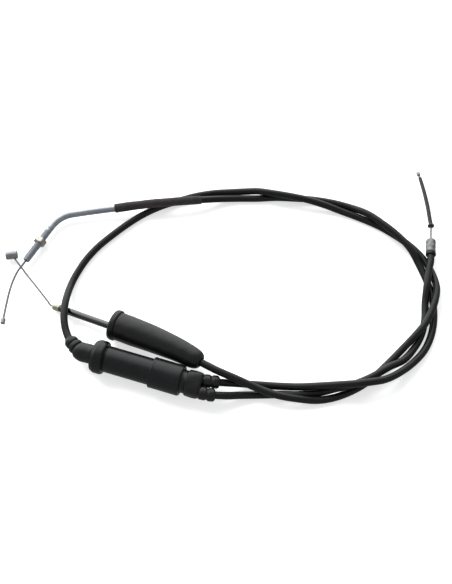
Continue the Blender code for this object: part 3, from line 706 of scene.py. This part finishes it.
# ---- pump end -----------------------------------------------------------------------------------------------------
def pump_end():
    s0 = pump.near((-18.3, 73.4, 7.5))
    s1 = pump.near((-81.1, 65.6, 7.2))
    pipe = pump.near((-69, 67.7, 8.1))

    def wall(s, a, r):
        if r < 3.0:
            return r
        over = 0.13 * min(1.0, max(0.0, (s - pipe + 3) / 5.0))
        return r + over + 0.05 * wave(s * 0.35 + a, 2) + 0.035 * wave(s * 1.1 + a * 2, 6)

    swept("shrink_sleeve_skin", pump, rounded([
        (s0, 2.62), (s0, 3.0, 0.15), (s0 + 0.5, 3.12, 0.3), (s0 + 30, 3.14, 2), (s1 - 0.6, 3.17, 0.3), (s1, 3.05, 0.2),
        (s1, 2.62), (s0, 2.62),
    ], 4)[:-1], SLEEVE, ["shrink_sleeve"], sides=56, step=0.9, shape=wall)
    swept("elbow_pipe_bent", pump, rounded([
        (pipe, 1.4), (pipe, PIPE_R, 0.25), (pump.length - 1.2, PIPE_R, 0.4), (pump.length - 0.3, PIPE_R - 0.25, 0.3),
        (pump.length - 0.3, 1.4, 0.1), (pipe, 1.4),
    ], 5)[:-1], ZINC, ["elbow_pipe"], sides=56, step=0.9)
    adj = line(ADJ_JOINT, ADJ_END)
    L = adj.length
    pitch, depth = 0.8, 0.34

    def thread(s, a, r):
        if r < 2.0:
            return r
        t = ((s / pitch) - a / (2 * math.pi)) % 1.0
        tri = 1 - abs(2 * t - 1)
        tri = min(1.0, max(0.0, (tri - 0.1) / 0.7))
        fade = min(1.0, max(0.0, (s - 1.6) / 1.2))
        return r - depth * (1 - tri) * fade

    prof = [(0, 1.4), (0, ADJ_R - 0.1), (0.15, ADJ_R)]
    k = 0.25
    while k < L - 0.55:
        prof.append((k, ADJ_R))
        k += 0.1
    prof += [(L - 0.5, ADJ_R), (L - 0.3, ADJ_R - 0.08), (L, ADJ_R - 0.35), (L, 1.55), (L - 0.2, 1.4)]
    swept("threaded_adjuster_cut", adj, prof, ZINC, ["threaded_adjuster"], sides=56, shape=thread, smooth=60)
    half = NUT_AF / 2
    corner = half / math.cos(math.pi / 6)

    def hexagon(s, a, r):
        if r < half * 0.9:
            return r
        b = a % (math.pi / 3) - math.pi / 6
        return min(r, half / math.cos(b) - 0.05 * max(0.0, (abs(b) - 0.47) / 0.0536))

    A, T = NUT_AT, NUT_T
    prof = [(A, 2.7), (A, 3.7), (A + 0.06, 3.85)]
    prof += [(A + 0.06 + 0.5 * k / 6, 3.85 + (corner - 3.85) * k / 6) for k in range(1, 7)]
    prof += [(A + 0.6 + (T - 1.2) * k / 3, corner) for k in range(4)]
    prof += [(A + T - 0.06 - 0.5 * (6 - k) / 6, 3.85 + (corner - 3.85) * (6 - k) / 6) for k in range(1, 7)]
    prof += [(A + T, 3.7), (A + T, 2.7)]
    swept("lock_nut_hex", adj, prof, NUTZINC, ["lock_nut"], sides=96, shape=hexagon, smooth=25)
    v = (V(ADJ_END) - V(ADJ_JOINT)).normalized()
    e = V(ADJ_END)
    pw = Route([
        e - v * 12, e - v * 4, e, e + v * 5, e + v * 10.5, (-149.0, 6.4, 4.3), (-150.5, -1.5, 4.0), (-151.5, -10.7, 3.6),
        (-152.2, -19.5, 3.2), (-152.4, -22.4, 3.1),
    ])
    stranded("pump_wire_stranded", pw, 0, pw.length, WIRE_R, ["pump_wire"])
    t = pw.tangent(pw.length)
    pn = line(pw.at(pw.length) + t * 0.3, pw.at(pw.length) + t * 4.3)
    swept("pump_nipple_cast", pn, rounded([
        (0, 0), (0, 1.2, 0.2), (0.3, 1.5, 0.25), (1.2, 1.55, 0.3), (3.7, 1.55, 0.25), (4.0, 1.25, 0.2), (4.0, 0),
    ], 4), NIPPLE, ["pump_nipple"], sides=48, step=0.6)


# ---- carburettor end ----------------------------------------------------------------------------------------------
def carb_end():
    end = line(CARB_A, CARB_B)
    n = end.length
    swept("ferrule_ring_black", end, rounded([
        (0, 2.8), (0, 3.35, 0.2), (0.35, 3.6, 0.3), (1.85, 3.6, 0.3), (2.2, 3.35, 0.2), (2.2, 2.8, 0.05), (0, 2.8),
    ], 5)[:-1], PLASTIC, ["ferrule_ring"], sides=72, step=0.8)

    def crimp(s, a, r):
        if r < 2.9:
            return r
        dent = 0.0
        for at, width, turn in ((5.2, 1.0, 0.0), (8.6, 1.0, 0.5)):
            lobe = 0.5 + 0.5 * math.cos(6 * (a + turn * math.pi / 3))
            dent += 0.26 * lobe * math.exp(-(((s - at) / width) ** 2))
        return r - dent - 0.03 * abs(wave(a * 3 + s * 2.1, 4))

    swept("carb_ferrule_crimped", end, rounded([
        (2.5, 1.25), (2.5, 3.15, 0.15), (2.85, CARB_R, 0.3), (n - 0.9, CARB_R, 0.6), (n - 0.1, 3.0, 0.4), (n, 2.2, 0.2),
        (n, 1.25, 0.2), (2.5, 1.25),
    ], 5)[:-1], CRIMP, ["carb_ferrule"], sides=96, step=0.3, shape=crimp)
    b = V(CARB_B)
    cw = Route([b - carb_in * 0.7, b + carb_in * 4, b + carb_in * 8, b + carb_in * 12.5, (147.6, 58, 6.5), (147.6, 66, 5.8),
                (147.25, 76.2, 4.8), (146.45, 87.6, 3.6), (145.45, 97, 2.6), (145.05, 99.4, 2.4)])
    stranded("carb_wire_stranded", cw, 0, cw.length, CARB_WIRE_R, ["carb_wire"])
    s1 = cw.near(b + carb_in * 11.7)
    L = cw.length

    def soft(s, a, r):
        return r + (0.03 * wave(s * 0.5 + a, 3) if r > 1.2 else 0)

    swept("wire_sleeve_black", cw, rounded([
        (s1, 0.9), (s1, 2.0, 0.2), (s1 + 0.35, 2.3, 0.3), (s1 + 1.3, 2.3, 0.3), (s1 + 1.7, 1.75, 0.3), (s1 + 2.3, 1.45, 0.3),
        (s1 + 26, 1.38, 1.0), (L - 3.6, 1.28, 1.0), (L - 2.2, 1.22, 0.15), (L - 2.2, 0.9), (s1, 0.9),
    ], 5)[:-1], PLASTIC, ["wire_sleeve"], sides=40, step=0.9, shape=soft)
    t = cw.tangent(cw.length)
    cn = line(cw.at(cw.length) + t * 0.3, cw.at(cw.length) + t * 3.6)
    swept("carb_nipple_cast", cn, rounded([
        (0, 0), (0, 1.0, 0.15), (0.25, 1.25, 0.2), (1.0, 1.3, 0.2), (3.05, 1.3, 0.25), (3.3, 1.0, 0.2), (3.3, 0),
    ], 4), NIPPLE, ["carb_nipple"], sides=48, step=0.6)


# ---- what stays from the frame ------------------------------------------------------------------------------------
def kept():
    for names, mat in (
        (("junction_slider",), NYLON),
        (("input_inner_wire", "pump_inner_wire", "carb_inner_wire"), WIRE),
        (("input_nipple", "pump_inner_nipple", "carb_inner_nipple"), NIPPLE),
        (("pump_end_ferrule", "carb_end_ferrule", "input_end_ferrule", "guide_ferrule"), ZINC),
    ):
        for name in names:
            me = frame["nodes"][name].data
            me.materials.clear()
            me.materials.append(mat)


# ---- floor and light ----------------------------------------------------------------------------------------------
def studio():
    bm = bmesh.new()
    bmesh.ops.create_grid(bm, x_segments=1, y_segments=1, size=2.5)
    me = bpy.data.meshes.new("floor")
    bm.to_mesh(me)
    bm.free()
    floor = bpy.data.objects.new("floor", me)
    bpy.context.scene.collection.objects.link(floor)
    n = Nodes("paper")
    n.value("Base Color", (0.84, 0.84, 0.84, 1))
    n.value("Roughness", 0.9)
    n.value("Specular IOR Level", 0.1)
    n.value("Emission Color", (1, 1, 1, 1))
    n.value("Emission Strength", 0.62)
    me.materials.append(n.m)
    floor.visible_glossy = False

    sun = bpy.data.lights.new("softbox", "SUN")
    sun.energy = 2.3
    sun.angle = math.radians(30)
    ob = bpy.data.objects.new("softbox", sun)
    bpy.context.scene.collection.objects.link(ob)
    ob.rotation_euler = Vector((0.46, -0.52, -0.72)).to_track_quat("-Z", "Y").to_euler()
    ob.visible_glossy = False

    # a pale tent that is bright above and behind, and dim on the side that the camera stands on
    data = bpy.data.worlds.new("tent")
    data.use_nodes = True
    t = data.node_tree
    where = t.nodes.new("ShaderNodeTexCoord")
    dot = t.nodes.new("ShaderNodeVectorMath")
    dot.operation = "DOT_PRODUCT"
    dot.inputs[1].default_value = Vector((-0.30, 0.90, 0.32)).normalized()
    t.links.new(where.outputs["Generated"], dot.inputs[0])
    ramp = t.nodes.new("ShaderNodeMapRange")
    ramp.interpolation_type = "SMOOTHSTEP"
    ramp.inputs["From Min"].default_value = 0.30
    ramp.inputs["From Max"].default_value = 1.0
    ramp.inputs["To Min"].default_value = 0.30
    ramp.inputs["To Max"].default_value = 2.1
    t.links.new(dot.outputs["Value"], ramp.inputs["Value"])
    back = t.nodes["Background"]
    back.inputs["Color"].default_value = (0.97, 0.985, 1, 1)
    t.links.new(ramp.outputs["Result"], back.inputs["Strength"])
    bpy.context.scene.world = data
    bpy.context.scene.view_settings.view_transform = "Standard"


add_camera()
cables()
splitter()
grip_end()
pump_end()
carb_end()
kept()
studio()
